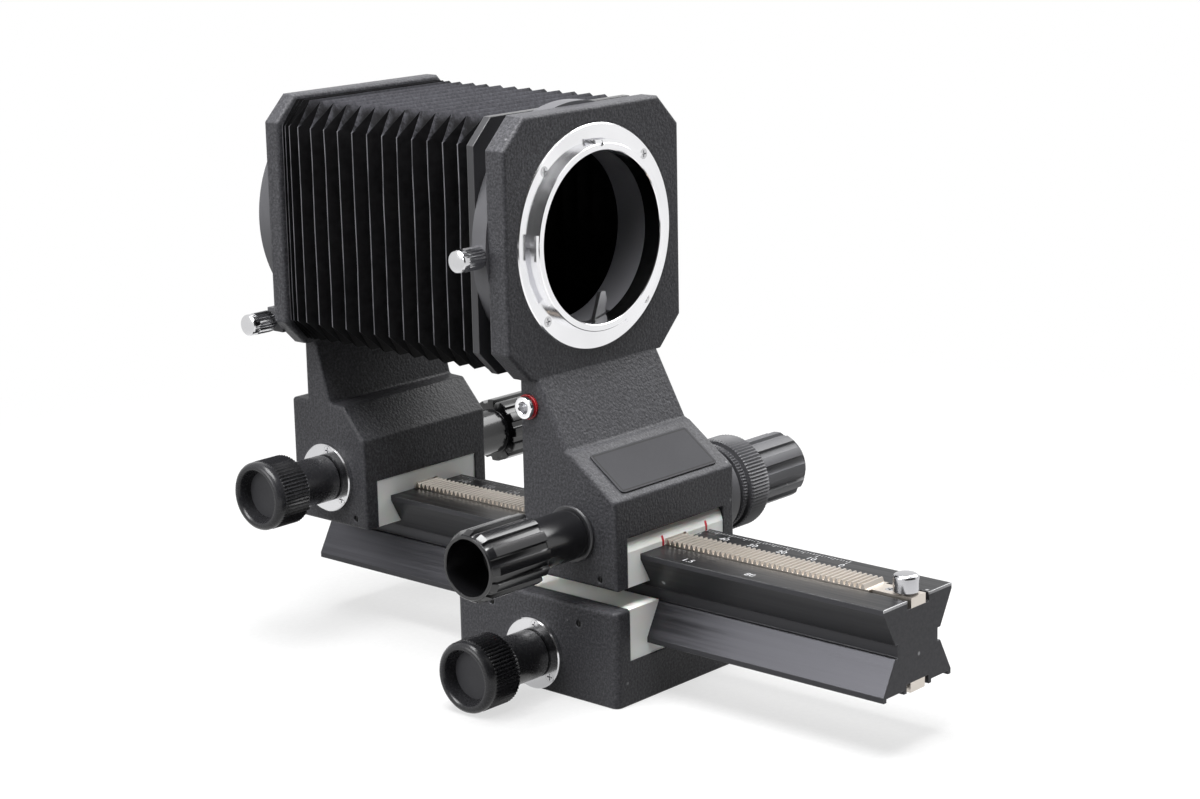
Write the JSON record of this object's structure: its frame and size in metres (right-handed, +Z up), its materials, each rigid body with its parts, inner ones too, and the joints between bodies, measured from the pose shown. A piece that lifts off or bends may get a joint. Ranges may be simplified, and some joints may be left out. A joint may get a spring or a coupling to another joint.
{
  "type": "macro bellows unit",
  "caption": "Macro bellows: lens and camera standards on a dovetail rail with rack drives, joined by a pleated bellows, on a tripod carriage.",
  "frame": {"origin": "centre of the tripod socket in the carriage's bottom face", "axes": "+Z up, -Y towards the subject along the lens axis, +X to the right as the subject sees it"},
  "size_m": [0.1354, 0.2146, 0.1597],
  "materials": {
    "crinkle_paint": "fine crinkle black paint on cast aluminium",
    "black_anodised": "black anodised, brushed along its length",
    "nylon": "off-white nylon",
    "warm_nickel": "satin nickel",
    "bright_chrome": "polished chrome",
    "satin_chrome": "satin chrome",
    "steel": "turned steel",
    "blackened_steel": "blackened steel",
    "satin_black": "satin black anodised",
    "grey_insert": "dark grey disc",
    "plate_black": "smooth black plate",
    "red_enamel": "red enamel",
    "leatherette": "black leatherette"
  },
  "bodies": {
    "carriage": {"carriage_body": "crinkle_paint", "carriage_liner": "nylon", "tripod_bush": "steel", "carriage_set_screws": "blackened_steel", "carriage_lock_flange": "satin_chrome", "carriage_flange_screws": "satin_chrome", "carriage_bearing": "satin_black"},
    "rail": {"rail": "black_anodised", "top_rack": "warm_nickel", "bottom_rack": "warm_nickel", "rack_screws": "satin_chrome", "stop_post": "bright_chrome"},
    "carriage_drive": {"carriage_shaft": "steel", "carriage_pinion": "steel", "carriage_drive_knob": "satin_black"},
    "carriage_lock": {"carriage_lock_knob": "satin_black", "carriage_lock_cap": "grey_insert"},
    "front_standard": {"front_casting": "crinkle_paint", "front_liner": "nylon", "front_set_screws": "blackened_steel", "nameplate": "plate_black", "lens_mount_ring": "bright_chrome", "lens_mount_screws": "satin_chrome", "mount_pin": "bright_chrome", "mount_barrel": "black_anodised", "reversing_disc": "satin_black", "bellows_front_frame": "satin_black", "release_socket": "satin_chrome", "release_ring": "red_enamel", "lever_pivot": "steel", "release_cover": "satin_black", "release_cover_screws": "blackened_steel", "front_bearing": "satin_black", "front_boss": "satin_black", "bellows": "leatherette"},
    "front_drive": {"front_shaft": "steel", "front_pinion": "steel", "front_knob_left": "satin_black", "front_knob_right": "satin_black"},
    "front_lock": {"front_lock_ring": "satin_black"},
    "bellows_lock": {"bellows_lock_screw": "satin_chrome"},
    "release": {"release_plunger": "steel"},
    "lever": {"diaphragm_lever": "steel"},
    "rear_standard": {"rear_casting": "crinkle_paint", "rear_liner": "nylon", "rear_set_screws": "blackened_steel", "rear_lock_flange": "satin_chrome", "rear_flange_screws": "satin_chrome", "rear_bearing": "satin_black", "camera_ring_housing": "satin_black"},
    "rear_drive": {"rear_shaft": "steel", "rear_pinion": "steel", "rear_drive_knob": "satin_black"},
    "rear_lock": {"rear_lock_knob": "satin_black", "rear_lock_cap": "grey_insert"},
    "camera_ring": {"camera_mount_ring": "black_anodised", "camera_bayonet": "bright_chrome", "bayonet_screws": "satin_chrome"},
    "ring_lock": {"ring_lock_screw": "satin_chrome"}
  },
  "joints": [
    {"name": "rail_slide", "type": "slide", "parent": "carriage", "child": "rail", "axis": [0, 1, 0], "range_m": [-0.065, 0.07]},
    {"name": "front_slide", "type": "slide", "parent": "rail", "child": "front_standard", "axis": [0, 1, 0], "range_m": [-0.072, 0.04], "deforming": ["bellows"]},
    {"name": "rear_slide", "type": "slide", "parent": "rail", "child": "rear_standard", "axis": [0, 1, 0], "range_m": [-0.02, 0]},
    {"name": "carriage_drive_spin", "type": "hinge", "parent": "carriage", "child": "carriage_drive", "pos_m": [0, 0, 0.0103], "axis": [1, 0, 0], "range_deg": [-884.1, 821]},
    {"name": "front_drive_spin", "type": "hinge", "parent": "front_standard", "child": "front_drive", "pos_m": [0, -0.0126, 0.0461], "axis": [1, 0, 0], "range_deg": [-505.4, 909.4]},
    {"name": "rear_drive_spin", "type": "hinge", "parent": "rear_standard", "child": "rear_drive", "pos_m": [0, 0.0842, 0.0461], "axis": [1, 0, 0], "range_deg": [-0.5, 253]},
    {"name": "carriage_lock_turn", "type": "hinge", "parent": "carriage", "child": "carriage_lock", "pos_m": [0, 0, 0.0103], "axis": [-1, 0, 0], "range_deg": [0, 90]},
    {"name": "rear_lock_turn", "type": "hinge", "parent": "rear_standard", "child": "rear_lock", "pos_m": [0, 0.0842, 0.0461], "axis": [-1, 0, 0], "range_deg": [0, 90]},
    {"name": "front_lock_turn", "type": "hinge", "parent": "front_standard", "child": "front_lock", "pos_m": [0, -0.0126, 0.0461], "axis": [1, 0, 0], "range_deg": [0, 60]},
    {"name": "bellows_lock_turn", "type": "hinge", "parent": "front_standard", "child": "bellows_lock", "pos_m": [-0.037, 0.00845, 0.1216], "axis": [-1, 0, 0], "range_deg": [0, 180]},
    {"name": "ring_lock_turn", "type": "hinge", "parent": "rear_standard", "child": "ring_lock", "pos_m": [-0.0335, 0.0958, 0.0934], "axis": [-1, 0, 0], "range_deg": [0, 180]},
    {"name": "camera_ring_turn", "type": "hinge", "parent": "rear_standard", "child": "camera_ring", "pos_m": [0, 0.0955, 0.12284], "axis": [0, 1, 0], "range_deg": [0, 90]},
    {"name": "release_press", "type": "slide", "parent": "front_standard", "child": "release", "axis": [1, 0, 0], "range_m": [0, 0.003], "stiffness_N_per_m": 150, "springref_m": -0.002},
    {"name": "lever_swing", "type": "hinge", "parent": "front_standard", "child": "lever", "pos_m": [0.0015, 0.0032, 0.0895], "axis": [0, -1, 0], "range_deg": [0, 17.15]}
  ],
  "couplings": [
    {"joint": "carriage_drive_spin", "follows": "rail_slide", "rad_per_m": -220.31},
    {"joint": "front_drive_spin", "follows": "front_slide", "rad_per_m": -220.31},
    {"joint": "rear_drive_spin", "follows": "rear_slide", "rad_per_m": -220.31},
    {"joint": "lever_swing", "follows": "release_press", "rad_per_m": 98.039}
  ]
}
